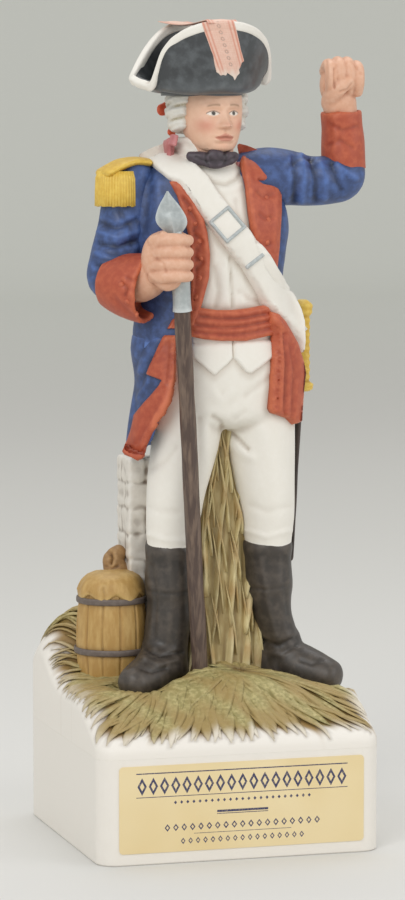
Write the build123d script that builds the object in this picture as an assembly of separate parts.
"""Figural liquor decanter: a slip-cast soldier on a grassy plinth, with the head as its stopper.

+Z is up and the soldier faces -Y. The origin is on the table, under the middle of the square plinth.
The vessel is hollow from the neck through the torso, the hips and the grass sheaf into the plinth.
Each casting is one solid; where two castings are luted together, the later one is cut to the earlier.
"""

import math
import os

from build123d import *

# Shared values
wall = 4.0
overrun = 60.0
egg_shares = (0.12, 0.25, 0.38, 0.5, 0.62, 0.75, 0.88)

# Plinth
plinth_width = 116.0
plinth_depth = 116.0
plinth_height = 42.0
plinth_corner_radius = 8.0
plinth_floor = 4.5
foot_edge_radius = 0.8

# Grass mound: rises above the plinth's upper face
mound_edge_rise = 7.0
mound_roll_drop = 5.5
mound_slope_rise = 12.5
mound_slope_run = 36.0
mound_crown_rise = 8.0
mound_crown_spread = 24.0
mound_crown_x = 4.0
mound_crown_y = 4.0
bank_rise = 26.0
bank_spread_x = 15.0
bank_spread_y = 13.0
bank_x = -40.0
bank_y = 40.0
mound_grid_points = 15
mound_wall = 5.0
mound_hole_radius = 9.0
mound_roll_power = 16

# Gold foil label on the front
label_width = 100.5
label_height = 34.5
label_bottom = 4.8
label_thickness = 0.35
label_corner_radius = 1.6

# Liquor passage
duct_radius = 7.0
duct_x = 8.0
duct_y = 6.0
neck_bore_radius = 8.0
neck_x = 1.5

# Breeches: hips and two legs
stance_y = 1.0
waist_z = 199.0
crotch_z = 165.0
hip_width = 61.0
hip_depth = 36.0
hip_x = 10.0
boot_top_z = 119.5
leg_width = 30.0
leg_depth = 28.0
right_leg_x = -15.0
left_leg_x = 28.7
hip_shares = ((0.0, 0.0, 0.92, 0.80), (0.2, 0.0, 1.0, 0.92), (0.6, 0.0, 0.98, 1.0), (1.0, -0.02, 0.90, 0.97))
leg_shares = ((0.0, 0.0, 0.64, 0.68), (0.15, 0.03, 0.70, 0.74), (0.33, 0.16, 0.79, 0.83),
              (0.69, 0.42, 0.93, 0.93), (1.0, 0.53, 1.0, 1.0))
right_leg_sway = 20.5
left_leg_sway = -7.5
thigh_top_z = 178.0
hip_floor = 6.0

# Boots
boot_width = 19.6
boot_depth = 21.0
boot_shaft_shares = ((0.0, 0.92, 0.95), (0.3, 0.90, 0.92), (0.72, 0.97, 0.98), (1.0, 1.02, 1.0))
boot_shaft_foot_z = 72.0
right_ankle_x = -15.3
left_ankle_x = 32.5
ankle_y = 2.0
foot_length = 40.0
foot_width = 17.0
foot_height = 17.0
foot_heel_share = 0.27
foot_shares = ((0.0, 0.70, 0.80), (0.12, 0.88, 1.0), (0.45, 0.94, 0.96), (0.75, 1.0, 0.70),
               (0.93, 0.82, 0.54), (1.0, 0.50, 0.34))
right_toe_turn = -44.0
left_toe_turn = 46.0
right_sole_z = 61.0
left_sole_z = 60.0

# Grass sheaf that props the figure from behind
sheaf_x = 9.0
sheaf_y = 12.0
sheaf_width = 50.0
sheaf_depth = 34.0
sheaf_wall = 3.5
sheaf_foot_z = 58.0
sheaf_top_z = 182.0
sheaf_shares = ((0.0, 1.0, 1.0), (0.2, 0.80, 0.86), (0.55, 0.66, 0.74), (1.0, 0.60, 0.66))

# Stone wall behind the right leg
stone_wall_width = 20.0
stone_wall_depth = 20.0
stone_wall_top_z = 155.0
stone_wall_left_x = -26.0
stone_wall_front_y = 16.0
stone_course_height = 10.5
stone_joint_width = 0.8
stone_edge_radius = 0.6
stone_joint_depth = 0.7
stone_break_shares = (0.30, 0.62)
stone_wall_foot_z = 50.0

# Powder keg
keg_x = -33.5
keg_y = 15.5
keg_foot_z = 58.0
keg_height = 43.0
keg_belly_radius = 14.6
keg_head_radius = 12.4
keg_lid_rise = 6.0
keg_stave_count = 12
keg_stave_groove = 0.5
keg_hoop_width = 2.4
keg_hoop_proud = 0.8
keg_hoop_shares = (0.34, 0.80)
keg_bulge_shares = ((0.0, 0.86), (0.25, 0.96), (0.5, 1.0), (0.75, 0.96), (1.0, 0.85))
keg_stave_start_share = 0.5

# Torso, seen as the white waistcoat
torso_width = 55.0
torso_depth = 38.0
torso_y = 2.0
neck_seat_z = 274.0
torso_shares = ((0.0, 0.118, 0.909, 0.92), (0.173, 0.10, 0.891, 0.868), (0.413, 0.073, 0.945, 0.947),
                (0.64, 0.045, 1.0, 1.0), (0.813, 0.018, 0.95, 0.87), (0.92, 0.0, 0.80, 0.72),
                (0.965, 0.0, 0.62, 0.64), (1.0, 0.0, 0.42, 0.55))
torso_cavity_top_share = 0.70
chest_scale = 58.0

# Coat over the torso
coat_width = 67.0
coat_depth = 41.5
coat_shares = ((0.0, 0.067, 1.0, 0.99), (0.08, 0.066, 1.0, 0.975), (0.173, 0.055, 0.955, 0.94),
               (0.33, 0.037, 0.915, 0.93), (0.5, 0.034, 0.955, 0.965), (0.64, 0.03, 1.0, 1.0),
               (0.813, 0.015, 0.925, 0.89), (0.92, 0.0, 0.79, 0.79), (0.965, 0.0, 0.67, 0.70),
               (1.0, 0.0, 0.51, 0.61))
opening_shares = ((-0.27, 1.2), (-0.20, 0.84), (-0.135, 0.758), (-0.08, 0.652), (-0.056, 0.546),
                  (-0.05, 0.45), (-0.066, 0.33), (-0.105, 0.224), (-0.165, 0.09), (-0.24, -0.3),
                  (0.68, -0.3), (0.60, 0.08), (0.47, 0.33), (0.33, 0.487), (0.264, 0.592), (0.237, 0.707),
                  (0.234, 0.823), (0.23, 0.946), (0.205, 1.2))

# Lapels, sash and belt: heights above the coat, and front outlines as shares of the torso
lapel_layer = 1.2
sash_layer = 1.0
belt_layer = 2.2
tail_layer = 2.6
left_lapel_shares = ((0.19, 1.01), (0.234, 0.823), (0.237, 0.707), (0.264, 0.592), (0.33, 0.487),
                     (0.476, 0.40), (0.494, 0.564), (0.549, 0.836), (0.40, 0.875), (0.522, 0.906),
                     (0.437, 0.96), (0.353, 1.0))
right_lapel_shares = ((-0.32, 0.90), (-0.20, 0.90), (-0.135, 0.758), (-0.08, 0.652), (-0.056, 0.546),
                      (-0.05, 0.45), (-0.066, 0.33), (-0.105, 0.224), (-0.165, 0.09), (-0.165, 0.01),
                      (-0.30, 0.01), (-0.27, 0.20), (-0.235, 0.402), (-0.235, 0.617), (-0.265, 0.758),
                      (-0.32, 0.83))
sash_shares = ((-0.165, 0.225), (0.36, 0.225), (0.53, 0.15), (0.53, 0.04), (0.334, 0.045), (-0.165, 0.035))
sash_tail_shares = ((0.42, 0.17), (0.405, -0.172), (0.395, -0.319), (0.415, -0.372), (0.537, -0.401),
                    (0.585, -0.415), (0.69, -0.381), (0.715, -0.05), (0.70, 0.10), (0.55, 0.20))

# Hanging end of the sash: the hip form it lies on
apron_x = 7.5
apron_y = 1.5
apron_foot_z = 164.0
apron_top_z = 216.0
apron_width = 66.0
apron_depth = 40.0
apron_shares = ((0.0, 0.03, 0.95, 0.92), (0.4, 0.03, 0.97, 0.96), (0.7, 0.0, 1.0, 1.0),
                (1.0, -0.03, 0.97, 0.98))

# Belt with buckle and keeper
belt_shoulder_x = -17.5
belt_shoulder_z = 273.0
belt_hip_x = 39.0
belt_hip_z = 203.5
belt_width = 12.5
belt_end_run = 24.0
buckle_length = 11.5
buckle_width = 14.5
buckle_bar = 1.6
buckle_rise = 0.9
buckle_share = 0.33
keeper_width = 2.0
keeper_share = 0.54

# Collar
collar_radius = 17.0
collar_inner_radius = 14.6
collar_foot_z = 262.0
collar_top_z = 283.0
collar_opening_shares = ((-0.24, 1.3), (-0.24, 0.7), (0.26, 0.7), (0.26, 1.3))

# Coat skirt with its turned-back red facing
skirt_width = 67.0
skirt_depth = 41.5
skirt_x = 6.0
skirt_y = 2.5
skirt_thickness = 2.4
skirt_foot_z = 150.0
skirt_shares = ((0.0, 0.0, 1.16, 1.30), (0.35, 0.0, 1.12, 1.22), (0.7, 0.0, 1.05, 1.08),
                (1.0, 0.0, 1.0, 0.99))
skirt_front_shares = ((-0.24, 0.14), (-0.272, -0.119), (-0.28, -0.227), (-0.331, -0.324), (-0.413, -0.433),
                      (-0.47, -0.553), (-0.506, -0.60), (-0.62, -0.60), (-0.62, -0.8), (1.2, -0.8),
                      (1.2, 0.14))
skirt_facing_shares = ((-0.24, 0.14), (-0.272, -0.119), (-0.28, -0.227), (-0.331, -0.324), (-0.413, -0.433),
                       (-0.47, -0.553), (-0.506, -0.60), (-0.548, -0.58), (-0.535, -0.49), (-0.507, -0.347),
                       (-0.382, -0.217), (-0.367, -0.182), (-0.454, -0.15), (-0.407, -0.04),
                       (-0.345, 0.069), (-0.32, 0.14))
facing_thickness = 0.9
skirt_right_edge_y = 9.0
skirt_vent_width = 3.0
skirt_vent_top_z = 188.0

# Sleeves, cuffs and hands: joints as (x, y, z)
right_shoulder = (-28.5, 3.5, 266.5)
right_elbow = (-37.0, 1.5, 227.0)
right_wrist = (-26.0, -16.0, 228.5)
left_shoulder = (24.0, 3.0, 264.5)
left_elbow = (58.5, 1.0, 264.0)
left_wrist = (60.0, 0.0, 291.0)
right_sleeve_radii = (8.0, 10.4, 9.8, 9.0, 8.0)
left_sleeve_radii = (12.0, 11.6, 11.0, 9.6, 8.4)
right_cuff_radius = 14.0
right_cuff_back_radius = 12.0
right_cuff_start_share = 0.16
left_cuff_radius = 9.7
left_cuff_back_radius = 9.9
left_cuff_start_share = 0.34
wrist_radius = 6.3
grip_palm = (-22.5, -24.0, 238.0)
palm_width = 15.0
palm_depth = 14.0
palm_height = 23.0
finger_radius = 2.7
finger_share = 0.86
knuckle_share = 0.35
digit_shares = ((0.0, 0.6), (0.2, 1.0), (0.8, 1.0), (1.0, 0.55))
thumb_radius = 2.8
grip_thumb_root = (-25.0, -27.0, 240.0)
grip_thumb_tip = (-21.8, -30.5, 250.5)
fist_palm = (60.0, 0.5, 303.0)
fist_width = 15.0
fist_depth = 13.0
fist_height = 20.0
fist_finger_reach = 7.0

# Epaulette
epaulette_length = 19.0
epaulette_depth = 17.0
epaulette_board = 3.0
epaulette_slope = 10.0
epaulette_x = -33.4
epaulette_y = 2.5
epaulette_z = 271.5
fringe_height = 14.5
fringe_width = 18.0
fringe_depth = 20.0
fringe_x = -34.5
fringe_top_z = 269.5
fringe_corner_share = 0.4

# Spontoon: the straight shaft, and a head that leans a little from the fist
pole_foot = (-4.0, -9.0, 66.0)
pole_grip = (-16.7, -26.3, 240.0)
blade_tip = (-21.0, -27.5, 266.0)
pole_radius = 3.5
socket_radius = 3.9
socket_top_radius = 2.9
socket_share = 0.882
blade_width = 12.4
blade_thickness = 3.4
blade_shares = ((0.0, 0.42, 1.0), (0.30, 0.52, 0.95), (0.46, 0.90, 0.9), (0.56, 1.0, 0.85), (0.78, 0.66, 0.6),
                (1.0, 0.06, 0.2))

# Sword
hilt_x = 45.2
hilt_y = 7.0
hilt_top_z = 213.5
hilt_foot_z = 179.0
grip_radius = 3.0
grip_ring_count = 6
grip_ring_depth = 0.35
pommel_radius = 3.6
guard_radius = 4.2
guard_height = 4.0
scabbard_width = 8.0
scabbard_thickness = 3.0
scabbard_x = 43.8
scabbard_tip_x = 41.5
scabbard_tip_y = 14.5
scabbard_tip_z = 108.0
scabbard_tip_share = 0.6

# Head and hair, turned a little to the figure's left
head_turn = 8.0
head_x = 3.0
head_y = -1.5
head_width = 25.0
head_depth = 30.0
chin_z = 277.0
hat_seat_z = 300.0
head_shares = ((0.0, 0.20, 0.42, 0.50), (0.12, 0.14, 0.62, 0.64), (0.30, 0.06, 0.84, 0.86),
               (0.60, 0.0, 0.97, 0.99), (0.85, 0.0, 1.0, 1.0), (1.0, -0.01, 0.97, 0.98))
nose_width = 5.0
nose_depth = 6.4
nose_height = 9.5
nose_reach = 14.2
nose_z = 291.5
hair_thickness = 2.4
hair_foot_z = 284.5
hair_front_reach = 3.0
side_curl_width = 7.5
side_curl_depth = 13.0
side_curl_height = 13.5
side_curl_z = 291.8
side_curl_back = 2.0
queue_width = 9.0
queue_depth = 7.0
queue_height = 14.0
ribbon_width = 26.0
ribbon_height = 5.0
ribbon_depth = 3.0
ribbon_z = 292.5
ribbon_lift = 1.5
ribbon_tail_length = 7.0
ribbon_tail_width = 3.4

# Neck stock, bow and cork
stock_radius = 12.6
stock_top_radius = 10.5
stock_height = 8.5
bow_width = 19.5
bow_height = 7.5
bow_depth = 5.0
bow_y = -12.9
bow_z = 275.2
bow_knot_width = 6.5
bow_wing_share = 0.56
cork_clearance = 0.05
cork_length = 19.0
cork_taper = 0.4
cork_socket_depth = 6.0

# Hat: a front and a back brim panel turned up between the left and right corners; a corner is (angle, reach)
hat_x = 0.0
hat_y = -1.0
crown_width = 33.0
crown_depth = 36.0
crown_height = 22.0
crown_shares = ((0.0, 0.0, 0.985, 0.985), (0.35, 0.0, 1.0, 1.0), (0.68, 0.0, 0.93, 0.93),
                (0.88, 0.0, 0.72, 0.72),
                (1.0, 0.0, 0.40, 0.40))
brim_thickness = 2.2
brim_inner_share = 0.8
brim_top_z = 328.8
brim_corner_top_z = 307.0
brim_fold_z = 300.0
corner_lean = 3.0
brim_spread_power = 2.6
left_corner = (192.0, 31.5)
right_corner = (365.0, 29.0)
front_panel = (2.4, 3.0, 0.62)
back_panel = (1.2, 1.0, 1.55)
brim_sections = 13
trim_width = 3.6
trim_proud = 0.45

# Revenue strip: up the front panel, over its edge and across to the back panel
strip_width = 13.4
strip_thickness = 0.5
strip_foot_z = 306.0
strip_top_x = 1.0
strip_lean = 11.5
strip_front_y = -24.0
strip_back_x = -6.0
strip_back_y = 20.6
strip_back_z = 329.2


# Helpers


def oval_stack(x, y, foot_z, height, width, depth, rows, grow=0.0):
    """Solid through ovals stacked up Z; a row is height share, sideways share, width and depth shares."""
    ovals = [Pos(x + shift * width, y, foot_z + share * height)
             * Ellipse(width * width_share / 2 + grow, depth * depth_share / 2 + grow)
             for share, shift, width_share, depth_share in rows]
    return loft(ovals)


def span_frame(start, finish, share):
    """Plane across the straight run from start to finish, its X kept level."""
    a, b = Vector(*start), Vector(*finish)
    direction = (b - a).normalized()
    level = Vector(0, 0, 1).cross(direction)
    if level.length < math.sin(math.radians(3)):
        level = Vector(1, 0, 0)
    return Plane(origin=a + (b - a) * share, x_dir=level, z_dir=direction)


def rod(start, finish, start_radius, finish_radius, first_share=0.0, last_share=1.0):
    """Round bar between two shares of a straight run, tapering from one radius to the other."""
    first = span_frame(start, finish, first_share) * Circle(start_radius)
    last = span_frame(start, finish, last_share) * Circle(finish_radius)
    return loft([first, last])


def bent_limb(shoulder, elbow, wrist, radii):
    """Sleeve lofted straight between discs at the shoulder, upper arm, elbow, forearm and wrist."""
    top, bend, end = Vector(*shoulder), Vector(*elbow), Vector(*wrist)
    upper = (bend - top).normalized()
    lower = (end - bend).normalized()
    across = lower.cross(upper).normalized()
    stations = ((top, upper), (top + (bend - top) * 0.5, upper), (bend, (upper + lower).normalized()),
                (bend + (end - bend) * 0.6, lower), (end, lower))
    discs = [Plane(origin=point, x_dir=across, z_dir=direction) * Circle(radius)
             for (point, direction), radius in zip(stations, radii)]
    return loft(discs, ruled=True)


def biggest(shape):
    """The largest solid of a shape."""
    return max(shape.solids(), key=lambda solid: solid.volume)


def seated(piece, *neighbours):
    """The piece cut to the neighbours it is luted onto, without the crumbs a cut can leave."""
    for neighbour in neighbours:
        piece = piece - neighbour
    return biggest(piece)


def front_points(shares):
    """Front-view points in millimetres from shares of the torso's height and a fixed chest width."""
    return [(neck_x + across * chest_scale, waist_z + up * (neck_seat_z - waist_z)) for across, up in shares]


def front_prism(points, first_y=-overrun, last_y=overrun):
    """Prism along Y over a front-view outline of (x, z) points."""
    face = make_face(Polyline(*[(x, first_y, z) for x, z in points], close=True))
    return extrude(face, amount=last_y - first_y, dir=(0, 1, 0))


def block(x0, x1, y0, y1, z0, z1):
    """Box between two corners."""
    return Pos((x0 + x1) / 2, (y0 + y1) / 2, (z0 + z1) / 2) * Box(x1 - x0, y1 - y0, z1 - z0)


# Base castings


def ground_height(x, y):
    """Height of the grassy ground at a place on the plinth."""
    run = min(max((y + plinth_depth / 2) / mound_slope_run, 0.0), 1.0)
    slope = mound_slope_rise * run * run * (3 - 2 * run)
    crown = mound_crown_rise * math.exp(-((x - mound_crown_x) ** 2 + (y - mound_crown_y) ** 2)
                                        / (2 * mound_crown_spread ** 2))
    bank = bank_rise * math.exp(-((x - bank_x) / bank_spread_x) ** 2 / 2
                                - ((y - bank_y) / bank_spread_y) ** 2 / 2)
    roll = mound_roll_drop * (abs(2 * x / plinth_width) ** mound_roll_power
                              + abs(2 * y / plinth_depth) ** mound_roll_power)
    return plinth_height + mound_edge_rise + slope + crown + bank - min(roll, 2 * mound_roll_drop)


def ground_solid(drop, inset):
    """Solid under the ground surface, lowered by the drop and trimmed inside the plinth by the inset."""
    half_width, half_depth = plinth_width / 2 + wall / 2, plinth_depth / 2 + wall / 2
    steps = range(mound_grid_points)
    along = [2 * step / (mound_grid_points - 1) - 1 for step in steps]
    grid = [[Vector(half_width * s, half_depth * t, ground_height(half_width * s, half_depth * t) - drop)
             for t in along] for s in along]
    surface = Face.make_surface_from_array_of_points(grid)
    body = extrude(surface, amount=2 * plinth_height, dir=(0, 0, -1))
    radius = plinth_corner_radius - inset if plinth_corner_radius > inset else wall / 2
    outline = RectangleRounded(plinth_width - 2 * inset, plinth_depth - 2 * inset, radius)
    return body & (Pos(0, 0, plinth_height) * extrude(outline, amount=2 * plinth_height))


def plinth_cavity():
    outline = RectangleRounded(plinth_width - 2 * wall, plinth_depth - 2 * wall, plinth_corner_radius - wall)
    return Pos(0, 0, plinth_floor) * extrude(outline, amount=plinth_height - plinth_floor)


def make_plinth():
    outline = RectangleRounded(plinth_width, plinth_depth, plinth_corner_radius)
    outside = extrude(outline, amount=plinth_height)
    outside = fillet(outside.edges().group_by(Axis.Z)[0], foot_edge_radius)
    return outside - plinth_cavity()


def make_mound():
    shell = ground_solid(0, 0) - ground_solid(mound_wall, wall)
    return biggest(shell - Pos(sheaf_x, sheaf_y, 0) * Cylinder(mound_hole_radius, 4 * plinth_height))


def make_label():
    middle = (0, -plinth_depth / 2, label_bottom + label_height / 2)
    face = Plane(origin=middle, x_dir=(1, 0, 0), z_dir=(0, -1, 0))
    outline = RectangleRounded(label_width, label_height, label_corner_radius)
    return extrude(face * outline, amount=label_thickness)


def make_leg(side_x, sway):
    rows = [(share, sway * bend / leg_width, across, deep) for share, bend, across, deep in leg_shares]
    return oval_stack(side_x, stance_y, boot_top_z, thigh_top_z - boot_top_z, leg_width, leg_depth, rows)


def hips_body(grow=0.0):
    return oval_stack(hip_x, stance_y, crotch_z, waist_z - crotch_z, hip_width, hip_depth, hip_shares, grow)


def hips_cavity():
    inside = hips_body(-wall)
    return inside & block(-overrun, overrun, -overrun, overrun, crotch_z + hip_floor, waist_z)


def make_breeches():
    whole = hips_body() + make_leg(right_leg_x, right_leg_sway) + make_leg(left_leg_x, left_leg_sway)
    duct = Pos(duct_x, duct_y, crotch_z) * Cylinder(duct_radius, 3 * hip_floor)
    top = block(-overrun, overrun, -overrun, overrun, waist_z, waist_z + overrun)
    return biggest(whole - hips_cavity() - duct - top)


def make_boot(shaft_x, ankle_x, sole_z, toe_turn, mound):
    """Boot in one casting: an oval shaft, and a foot lofted through ovals from heel to toe."""
    height = boot_top_z - boot_shaft_foot_z
    rows = [(share, 0.0, across, deep) for share, across, deep in boot_shaft_shares]
    shaft = oval_stack(shaft_x, stance_y, boot_shaft_foot_z, height, boot_width, boot_depth, rows)
    turn = math.radians(toe_turn)
    toward = Vector(math.sin(turn), -math.cos(turn), 0)
    sideways = Vector(math.cos(turn), math.sin(turn), 0)
    sections = []
    for share, across, tall in foot_shares:
        run = foot_length * (share - foot_heel_share)
        middle = Vector(ankle_x, ankle_y, sole_z + foot_height * tall / 2) + toward * run
        sections.append(Plane(origin=middle, x_dir=sideways, z_dir=toward)
                        * Ellipse(foot_width * across / 2, foot_height * tall / 2))
    return seated(shaft + loft(sections), mound)


def sheaf_body(grow=0.0):
    rows = [(share, 0.0, across, deep) for share, across, deep in sheaf_shares]
    return oval_stack(sheaf_x, sheaf_y, sheaf_foot_z, sheaf_top_z - sheaf_foot_z, sheaf_width, sheaf_depth,
                      rows, grow)


def make_sheaf(*neighbours):
    return seated(sheaf_body() - sheaf_body(-sheaf_wall), *neighbours)


def make_stone_wall(mound):
    """Run of ashlar with sunk mortar joints on its front and left faces."""
    x0, y0 = stone_wall_left_x, stone_wall_front_y
    x1, y1 = x0 + stone_wall_width, y0 + stone_wall_depth
    body = block(x0, x1, y0, y1, stone_wall_foot_z, stone_wall_top_z)
    body = fillet(body.edges().filter_by(Axis.Z) + body.edges().group_by(Axis.Z)[-1], stone_edge_radius)
    courses = int((stone_wall_top_z - stone_wall_foot_z) / stone_course_height)
    for course in range(1, courses):
        z = stone_wall_top_z - course * stone_course_height
        ring = block(x0 - wall, x1 + wall, y0 - wall, y1 + wall, z, z + stone_joint_width)
        ring = ring - block(x0 + stone_joint_depth, x1 - stone_joint_depth,
                            y0 + stone_joint_depth, y1 - stone_joint_depth, z - wall, z + wall)
        body = body - ring
        upright = x0 + stone_wall_width * stone_break_shares[course % len(stone_break_shares)]
        joint = block(upright, upright + stone_joint_width, y0 - wall, y0 + stone_joint_depth,
                      z - stone_course_height + stone_joint_width, z)
        body = body - joint
    return seated(body, mound)


def make_keg(*neighbours):
    rows = [(share, 0.0, width, width) for share, width in keg_bulge_shares]
    width = 2 * keg_belly_radius
    body = oval_stack(keg_x, keg_y, keg_foot_z, keg_height, width, width, rows)
    lid = Pos(keg_x, keg_y, keg_foot_z + keg_height) * scale(
        Sphere(keg_head_radius, arc_size1=0), by=(1, 1, keg_lid_rise / keg_head_radius))
    body = body + lid
    for stave in range(keg_stave_count):
        angle = 2 * math.pi * (stave + keg_stave_start_share) / keg_stave_count
        reach = keg_belly_radius - keg_stave_groove
        groove = Pos(keg_x + reach * math.cos(angle), keg_y + reach * math.sin(angle), keg_foot_z)
        body = body - groove * Rot(0, 0, math.degrees(angle) + 45) * Box(
            keg_stave_groove * 2, keg_stave_groove * 2, 3 * keg_height)
    return seated(body, *neighbours)


def make_keg_hoop(share, *neighbours):
    """Iron hoop round the keg: a band seated in against the staves."""
    rows = [(level, 0.0, width, width) for level, width in keg_bulge_shares]
    width = 2 * keg_belly_radius
    z = keg_foot_z + keg_height * share
    band = oval_stack(keg_x, keg_y, keg_foot_z, keg_height, width, width, rows, keg_hoop_proud)
    band = band & block(-overrun, overrun, -overrun, overrun, z - keg_hoop_width / 2, z + keg_hoop_width / 2)
    return seated(band, *neighbours)


# Figure: the trunk and the cloth laid on it


def torso_body(grow=0.0):
    height = neck_seat_z - waist_z
    return oval_stack(neck_x, torso_y, waist_z, height, torso_width, torso_depth, torso_shares, grow)


def coat_body(grow=0.0):
    height = neck_seat_z - waist_z
    return oval_stack(neck_x, torso_y, waist_z, height, coat_width, coat_depth, coat_shares, grow)


def skirt_body(grow=0.0):
    return oval_stack(skirt_x, skirt_y, skirt_foot_z, waist_z - skirt_foot_z, skirt_width, skirt_depth,
                      skirt_shares, grow)


def front_layer(body, shares):
    """The part of a body in front of the spine that lies inside a front-view outline."""
    return body & front_prism(front_points(shares), last_y=torso_y)


def belt_outline(half_width, first_share, last_share, end_run=0.0):
    """Corners, in front view, of a length of the shoulder belt."""
    run_x, run_z = belt_hip_x - belt_shoulder_x, belt_hip_z - belt_shoulder_z
    length = math.hypot(run_x, run_z)
    along = (run_x / length, run_z / length)
    corners = []
    for share, side, extra in ((first_share, 1, -end_run), (last_share, 1, end_run),
                               (last_share, -1, end_run), (first_share, -1, -end_run)):
        distance = share * length + extra
        corners.append((belt_shoulder_x + along[0] * distance - along[1] * half_width * side,
                        belt_shoulder_z + along[1] * distance + along[0] * half_width * side))
    return corners


def torso_cavity():
    cavity_top = waist_z + torso_cavity_top_share * (neck_seat_z - waist_z)
    return torso_body(-wall) & block(-overrun, overrun, -overrun, overrun, waist_z, cavity_top)


def make_torso():
    depth = (1 - torso_cavity_top_share) * (neck_seat_z - waist_z) + wall
    bore = Pos(neck_x, torso_y, neck_seat_z) * Cylinder(neck_bore_radius, 2 * depth)
    return biggest(torso_body() - torso_cavity() - bore)


def make_skirt(*neighbours):
    """Coat skirt hung from the waist, open in front, with a slit up the back."""
    shell = skirt_body() - skirt_body(-skirt_thickness)
    shell = shell - front_prism(front_points(skirt_front_shares), last_y=skirt_right_edge_y)
    slit = block(skirt_x - skirt_vent_width / 2, skirt_x + skirt_vent_width / 2, skirt_y, overrun,
                 skirt_foot_z - wall, skirt_vent_top_z)
    return seated(shell - slit, *neighbours)


def make_facing(*neighbours):
    """Red lining turned back over the skirt's front edge."""
    outside = front_layer(skirt_body(facing_thickness), skirt_facing_shares)
    return seated(outside, skirt_body(), *neighbours)


def make_sash_tail(*neighbours):
    """Hanging end of the sash: everything between the hip and the apron form inside its outline."""
    form = oval_stack(apron_x, apron_y, apron_foot_z, apron_top_z - apron_foot_z, apron_width, apron_depth,
                      apron_shares, tail_layer)
    return seated(front_layer(form, sash_tail_shares), *neighbours)


def make_collar(*neighbours):
    height = collar_top_z - collar_foot_z
    ring = Cylinder(collar_radius, height) - Cylinder(collar_inner_radius, 2 * height)
    ring = Pos(neck_x, torso_y, collar_foot_z + height / 2) * ring
    return seated(ring - front_prism(front_points(collar_opening_shares), last_y=torso_y), *neighbours)


def make_buckle():
    """Square buckle standing on the belt's face."""
    half = buckle_width / 2
    reach = buckle_length / 2 / math.hypot(belt_hip_x - belt_shoulder_x, belt_hip_z - belt_shoulder_z)
    inner = reach * (1 - 2 * buckle_bar / buckle_length)
    outside = front_prism(belt_outline(half, buckle_share - reach, buckle_share + reach), last_y=torso_y)
    opening = belt_outline(half - buckle_bar, buckle_share - inner, buckle_share + inner)
    inside = front_prism(opening, last_y=torso_y)
    return seated((coat_body(belt_layer + buckle_rise) & outside) - inside, coat_body(belt_layer))


def make_keeper():
    reach = keeper_width / 2 / math.hypot(belt_hip_x - belt_shoulder_x, belt_hip_z - belt_shoulder_z)
    outline = belt_outline(belt_width / 2, keeper_share - reach, keeper_share + reach)
    outside = front_prism(outline, last_y=torso_y)
    return seated(coat_body(belt_layer + buckle_rise) & outside, coat_body(belt_layer))


# Figure: arms, hands and arms of war


def egg(middle, width, depth, height):
    """Egg-like lump by its middle and its three full sizes, flattened a little at top and bottom."""
    rows = [((1 - math.cos(math.pi * share)) / 2, 0.0, math.sin(math.pi * share), math.sin(math.pi * share))
            for share in egg_shares]
    low, high = rows[0][0], rows[-1][0]
    rows = [((level - low) / (high - low), shift, across, deep) for level, shift, across, deep in rows]
    return oval_stack(middle[0], middle[1], middle[2] - height / 2, height, width, depth, rows)


def digit(start, finish, radius):
    """Finger or thumb: a round bar with blunted ends."""
    return loft([span_frame(start, finish, share) * Circle(radius * width) for share, width in digit_shares],
                ruled=True)


def make_grip_hand(*neighbours):
    """Right hand closed round the shaft: wrist, palm, four fingers in front of it and the thumb."""
    palm = egg(grip_palm, palm_width, palm_depth, palm_height)
    hand = palm + rod(right_wrist, grip_palm, wrist_radius, wrist_radius)
    spread = palm_height * finger_share
    for number in range(4):
        level = grip_palm[2] + spread * ((number + 0.5) / 4 - 0.5)
        share = (level - pole_foot[2]) / (pole_grip[2] - pole_foot[2])
        pole_x = pole_foot[0] + (pole_grip[0] - pole_foot[0]) * share
        front = pole_foot[1] + (pole_grip[1] - pole_foot[1]) * share - pole_radius - finger_radius
        tip = (pole_x + pole_radius, front, level)
        root = (grip_palm[0] - palm_width * knuckle_share, front + finger_radius, level)
        hand = hand + digit(root, tip, finger_radius)
    hand = hand + digit(grip_thumb_root, grip_thumb_tip, thumb_radius)
    return seated(hand, *neighbours)


def make_fist(*neighbours):
    """Raised left fist: wrist, palm, four curled fingers and the thumb across them."""
    palm = egg(fist_palm, fist_width, fist_depth, fist_height)
    fist = palm + rod(left_wrist, fist_palm, wrist_radius, wrist_radius)
    front = fist_palm[1] - fist_depth / 2
    spread = fist_height * finger_share
    for number in range(4):
        level = fist_palm[2] + spread * ((number + 0.5) / 4 - 0.5)
        start = (fist_palm[0] - fist_finger_reach, front, level)
        finish = (fist_palm[0] + fist_finger_reach, front, level)
        fist = fist + digit(start, finish, finger_radius)
    return seated(fist, *neighbours)


def make_epaulette(*neighbours):
    board = Pos(epaulette_x, epaulette_y, epaulette_z) * Rot(0, -epaulette_slope, 0) * fillet(
        Box(epaulette_length, epaulette_depth, epaulette_board).edges().filter_by(Axis.Z), epaulette_board)
    outline = RectangleRounded(fringe_width, fringe_depth, fringe_width * fringe_corner_share)
    fringe = Pos(fringe_x, epaulette_y, fringe_top_z - fringe_height) * extrude(outline, amount=fringe_height)
    return seated(board + fringe, *neighbours)


def make_pole(*neighbours):
    return seated(rod(pole_foot, pole_grip, pole_radius, pole_radius, 0.0, socket_share), *neighbours)


def make_spontoon_head():
    """Socket over the shaft and the leaf-shaped blade above the fist."""
    socket = rod(pole_foot, pole_grip, socket_radius, socket_top_radius, socket_share, 1.0)
    frames = [span_frame(pole_grip, blade_tip, share) for share, across, deep in blade_shares]
    leaves = [frame * Ellipse(blade_width * across / 2, blade_thickness * deep / 2)
              for frame, (share, across, deep) in zip(frames, blade_shares)]
    return socket + loft(leaves) + Pos(*pole_grip) * Sphere(socket_top_radius)


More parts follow.
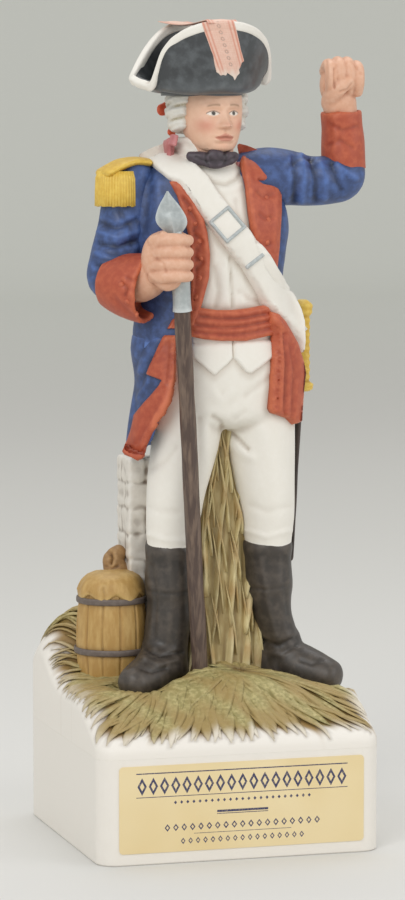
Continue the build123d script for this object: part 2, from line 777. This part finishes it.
def make_hilt():
    """Ringed grip with its pommel and guard."""
    height = hilt_top_z - hilt_foot_z
    grip = Pos(hilt_x, hilt_y, hilt_foot_z + height / 2) * Cylinder(grip_radius, height)
    pommel = Pos(hilt_x, hilt_y, hilt_top_z) * Sphere(pommel_radius)
    guard = Pos(hilt_x, hilt_y, hilt_foot_z + guard_height / 2) * Cylinder(guard_radius, guard_height)
    step = (height - guard_height) / (grip_ring_count + 1)
    for ring in range(grip_ring_count):
        z = hilt_foot_z + guard_height + (ring + 1) * step
        grip = grip + Pos(hilt_x, hilt_y, z) * Cylinder(grip_radius + grip_ring_depth, step / 2)
    return grip + pommel + guard


def make_scabbard(hilt, *neighbours):
    levels = ((hilt_foot_z + guard_height, scabbard_x, hilt_y, 1.0), (hilt_foot_z, scabbard_x, hilt_y, 1.0),
              (scabbard_tip_z, scabbard_tip_x, scabbard_tip_y, scabbard_tip_share))
    ovals = [Pos(x, y, z) * Ellipse(scabbard_width * share / 2, scabbard_thickness * share / 2)
             for z, x, y, share in levels]
    return seated(loft(ovals, ruled=True), hilt, *neighbours)


# Stopper: head, hair, neck stock, bow, hat and cork


def on_head(piece):
    """Piece made about a forward X, placed on the turned head."""
    return Pos(head_x, head_y, 0) * Rot(0, 0, head_turn - 90) * piece


def head_stack(grow=0.0):
    return oval_stack(0, 0, chin_z, hat_seat_z - chin_z, head_depth, head_width, head_shares, grow)


def make_stock(cork):
    """Wound neck stock, which seats the stopper on the neck and holds its cork."""
    collar = loft([Pos(neck_x, torso_y, neck_seat_z) * Circle(stock_radius),
                   Pos(neck_x, torso_y, neck_seat_z + stock_height) * Circle(stock_top_radius)])
    return seated(collar, cork)


def make_cork():
    radius = neck_bore_radius - cork_clearance
    below = loft([Pos(neck_x, torso_y, neck_seat_z - cork_length) * Circle(radius - cork_taper),
                  Pos(neck_x, torso_y, neck_seat_z) * Circle(radius)])
    above = Pos(neck_x, torso_y, neck_seat_z) * extrude(Circle(radius), amount=cork_socket_depth)
    return below + above


def make_head(stock):
    nose = egg((nose_reach, 0, nose_z), nose_depth, nose_width, nose_height)
    return seated(on_head(head_stack() + nose), stock)


def make_hair(head, *neighbours):
    """Powdered hair: a shell behind the face, a puff over each ear and a short queue."""
    behind = block(-overrun, hair_front_reach, -overrun, overrun, hair_foot_z, hat_seat_z)
    shell = head_stack(hair_thickness) & behind
    for side in (-1, 1):
        middle = (-side_curl_back, side * head_width / 2, side_curl_z)
        shell = shell + egg(middle, side_curl_depth, side_curl_width, side_curl_height)
    nape = (-head_depth / 2 - hair_thickness, 0, side_curl_z)
    shell = shell + egg(nape, queue_depth, queue_width, queue_height)
    shell = shell & block(-overrun, overrun, -overrun, overrun, hair_foot_z, hat_seat_z)
    return seated(on_head(shell), head, *neighbours)


def make_ribbon(hair):
    """Ribbon tied round the queue: a bow with two hanging ends."""
    back = -head_depth / 2 - hair_thickness - queue_depth / 2
    bow = egg((back, 0, ribbon_z), 1.4 * ribbon_depth, 2 * ribbon_depth, ribbon_height)
    for side in (-1, 1):
        wing = (back, side * ribbon_width / 4, ribbon_z + ribbon_lift)
        bow = bow + egg(wing, ribbon_depth, ribbon_width / 2, ribbon_height)
        end = (back, side * ribbon_width / 4, ribbon_z - ribbon_tail_length / 2)
        bow = bow + egg(end, ribbon_depth, ribbon_tail_width, ribbon_tail_length)
    return seated(on_head(bow), hair)


def make_bow(*neighbours):
    wing = bow_width / 2 * bow_wing_share
    bow = egg((neck_x, bow_y, bow_z), bow_knot_width, bow_depth * 1.1, bow_height * 0.85)
    for side in (-1, 1):
        middle = (neck_x - 1.2 + side * (bow_width / 2 - wing), bow_y, bow_z)
        bow = bow + egg(middle, 2 * wing, bow_depth, bow_height)
    return seated(bow, *neighbours)


def crown_reach(angle):
    """Distance from the hat's middle to the crown's side at an angle."""
    half_width, half_depth = crown_width / 2, crown_depth / 2
    return half_width * half_depth / math.hypot(half_depth * math.cos(angle), half_width * math.sin(angle))


def brim_station(share, first, last, panel):
    """Angle, fold point and top-edge point, as (reach, height), at a share of one brim panel."""
    gap, panel_lean, rise_power = panel
    angle = math.radians(first[0] + (last[0] - first[0]) * share)
    corner = abs(2 * share - 1)
    end_reach = first[1] if share < 0.5 else last[1]
    lean = panel_lean + (corner_lean - panel_lean) * corner
    low_reach = crown_reach(angle) + gap + brim_thickness + panel_lean
    top_reach = low_reach + (end_reach - low_reach) * corner ** brim_spread_power
    rise = (1 - corner * corner) ** rise_power
    top_z = brim_corner_top_z + (brim_top_z - brim_corner_top_z) * rise
    return angle, (top_reach - lean, brim_fold_z), (top_reach, top_z)


def panel_loft(first, last, panel, section):
    """Loft of radial sections from one brim corner to the next; a panel is (gap, lean, rise power)."""
    faces = []
    for step in range(brim_sections):
        angle, fold, top = brim_station(step / (brim_sections - 1), first, last, panel)
        plane = Plane(origin=(hat_x, hat_y, 0), x_dir=(math.cos(angle), math.sin(angle), 0),
                      z_dir=(math.sin(angle), -math.cos(angle), 0))
        points = section(angle, fold, top)
        faces.append(plane * make_face(Polyline(*points, close=True)))
    return loft(faces, ruled=True)


def brim_section(angle, fold, top):
    inner = crown_reach(angle) * brim_inner_share
    return ((inner, fold[1]), fold, top, (top[0] - brim_thickness, top[1]),
            (fold[0] - brim_thickness, fold[1] + brim_thickness), (inner, fold[1] + brim_thickness))


def band_section(depth, proud):
    """Section rule for a band wrapped over the top of a brim panel to a depth, standing proud of it."""
    def section(angle, fold, top):
        run_r, run_z = top[0] - fold[0], top[1] - fold[1]
        length = math.hypot(run_r, run_z)
        along = (run_r / length, run_z / length)
        out = (along[1] * proud, -along[0] * proud)
        down = min(depth, length - brim_thickness)
        start = (top[0] - along[0] * down, top[1] - along[1] * down)
        return ((start[0] + out[0], start[1] + out[1]), (top[0] + out[0], top[1] + proud),
                (top[0] - brim_thickness - out[0], top[1] + proud),
                (start[0] - brim_thickness - out[0], start[1] - out[1]))
    return section


def around_hat(section):
    """The same section rule carried round both brim panels."""
    right = (right_corner[0] - 360, right_corner[1])
    return (panel_loft(left_corner, right_corner, front_panel, section)
            + panel_loft(right, left_corner, back_panel, section))


def make_crown(head, hair):
    dome = oval_stack(hat_x, hat_y, hat_seat_z, crown_height, crown_width, crown_depth, crown_shares)
    return seated(dome, head, hair)


def make_strip(*neighbours):
    """Paper strip: a skin on the front panel, then a flat run back over the crown."""
    skin = panel_loft(left_corner, right_corner, front_panel,
                      band_section(brim_top_z, trim_proud + strip_thickness))
    drop = brim_top_z + wall - strip_foot_z
    shift = drop * math.tan(math.radians(strip_lean))
    half = strip_width / 2
    outline = [(strip_top_x - half, brim_top_z + wall), (strip_top_x + half, brim_top_z + wall),
               (strip_top_x + half + shift, strip_foot_z), (strip_top_x - half + shift, strip_foot_z)]
    skin = skin & front_prism(outline, last_y=hat_y)
    ends = ((strip_top_x, strip_front_y, brim_top_z + trim_proud), (strip_back_x, strip_back_y, strip_back_z))
    frames = [span_frame(*ends, share) for share in (0.0, 1.0)]
    bridge = loft([frame * Rectangle(strip_width, strip_thickness) for frame in frames])
    return seated(skin + bridge, *neighbours)


# Build and write out


def make_decanter():
    """Every piece of the vessel and of the figure luted to it."""
    made = {}
    mound = made["mound"] = make_mound()
    made["plinth"] = make_plinth()
    made["gold_label"] = make_label()
    breeches = made["breeches"] = make_breeches()
    right_boot = make_boot(right_leg_x, right_ankle_x, right_sole_z, right_toe_turn, mound)
    left_boot = make_boot(left_leg_x, left_ankle_x, left_sole_z, left_toe_turn, mound)
    made["right_boot"], made["left_boot"] = right_boot, left_boot
    stone = made["stone_wall"] = make_stone_wall(mound)
    sheaf = made["grass_sheaf"] = make_sheaf(hips_body(), breeches, right_boot, left_boot, stone, mound)
    keg = made["powder_keg"] = make_keg(stone, right_boot, mound)
    for name, share in zip(("lower_keg_hoop", "upper_keg_hoop"), keg_hoop_shares):
        made[name] = make_keg_hoop(share, keg, stone, right_boot, mound)

    torso_core, coat_core = torso_body(), coat_body()
    coat_region = coat_core - front_prism(front_points(opening_shares), last_y=torso_y)
    lapel_core = coat_body(lapel_layer)
    right_lapel_core = front_layer(lapel_core, right_lapel_shares)
    left_lapel_core = front_layer(lapel_core, left_lapel_shares)
    sash_core = front_layer(coat_body(sash_layer), sash_shares)
    belt_core = coat_body(belt_layer) & front_prism(belt_outline(belt_width / 2, 0, 1, belt_end_run))
    made["waistcoat_torso"] = make_torso()
    made["coat_body"] = seated(coat_region, torso_core)
    made["right_lapel"] = seated(right_lapel_core, coat_core)
    made["left_lapel"] = seated(left_lapel_core, coat_core)
    made["waist_sash"] = seated(sash_core, torso_core, coat_region, right_lapel_core)
    made["shoulder_belt"] = seated(belt_core, torso_core, coat_region, right_lapel_core, left_lapel_core,
                                   sash_core)
    made["belt_buckle"] = make_buckle()
    made["belt_keeper"] = make_keeper()
    skirt = made["coat_skirt"] = make_skirt(breeches, stone, sheaf, coat_core)
    facing = made["skirt_facing"] = make_facing(stone, breeches)
    made["coat_collar"] = make_collar(coat_core, belt_core, left_lapel_core, right_lapel_core)
    trunk = (torso_core, coat_core, belt_core)
    sash_tail = made["sash_tail"] = make_sash_tail(breeches, *trunk, sash_core, skirt)

    epaulette = made["epaulette"] = make_epaulette(coat_core, belt_core)
    right_sleeve = made["right_sleeve"] = seated(
        bent_limb(right_shoulder, right_elbow, right_wrist, right_sleeve_radii),
        epaulette, *trunk, right_lapel_core)
    left_sleeve = made["left_sleeve"] = seated(
        bent_limb(left_shoulder, left_elbow, left_wrist, left_sleeve_radii), *trunk, left_lapel_core)
    right_cuff = made["right_cuff"] = seated(
        rod(right_elbow, right_wrist, right_cuff_back_radius, right_cuff_radius, right_cuff_start_share),
        right_sleeve, *trunk, right_lapel_core, skirt, facing)
    left_cuff = made["left_cuff"] = seated(
        rod(left_elbow, left_wrist, left_cuff_back_radius, left_cuff_radius, left_cuff_start_share),
        left_sleeve)
    spontoon_head = made["spontoon_head"] = make_spontoon_head()
    pole = made["spontoon_shaft"] = make_pole(spontoon_head, breeches, right_boot, mound, facing, skirt)
    made["right_hand"] = make_grip_hand(pole, spontoon_head, right_cuff, right_sleeve)
    made["left_fist"] = make_fist(left_cuff, left_sleeve)
    hilt = made["sword_hilt"] = seated(make_hilt(), *trunk, skirt, sash_tail)
    made["sword_scabbard"] = make_scabbard(hilt, *trunk, skirt, sash_tail, breeches)
    return made


def make_stopper():
    """The lift-off head with its hat, neck stock and cork."""
    made = {}
    cork = made["cork"] = make_cork()
    stock = made["neck_stock"] = make_stock(cork)
    head = made["head"] = make_head(stock)
    hair = made["hair"] = make_hair(head, stock)
    made["hair_ribbon"] = make_ribbon(hair)
    made["neck_bow"] = make_bow(stock, head)
    crown = made["hat_crown"] = make_crown(head, hair)
    brim_form = around_hat(brim_section)
    trim_form = around_hat(band_section(trim_width, trim_proud))
    made["hat_brim"] = seated(brim_form, crown, head, hair)
    made["hat_trim"] = seated(trim_form, brim_form, crown)
    made["revenue_strip"] = make_strip(brim_form, trim_form, crown)
    return made


def liquor_volume():
    """Millilitres the linked cavities hold."""
    ground_cavity = ground_solid(mound_wall, wall)
    riser = sheaf_body(-sheaf_wall) - ground_solid(0, 0)
    riser = riser & block(-overrun, overrun, -overrun, overrun, plinth_height, crotch_z)
    spaces = (plinth_cavity(), ground_cavity, riser, hips_cavity(), torso_cavity())
    return sum(space.volume for space in spaces) / 1000


def write_parts():
    os.makedirs("parts", exist_ok=True)
    pieces = {**make_decanter(), **make_stopper()}
    for name, piece in pieces.items():
        piece.label = name
        export_step(piece, f"parts/{name}.step")
        print(name, round(piece.volume), "mm3", piece.bounding_box().size)
    print("liquor volume", round(liquor_volume()), "ml")


if __name__ == "__main__":
    write_parts()
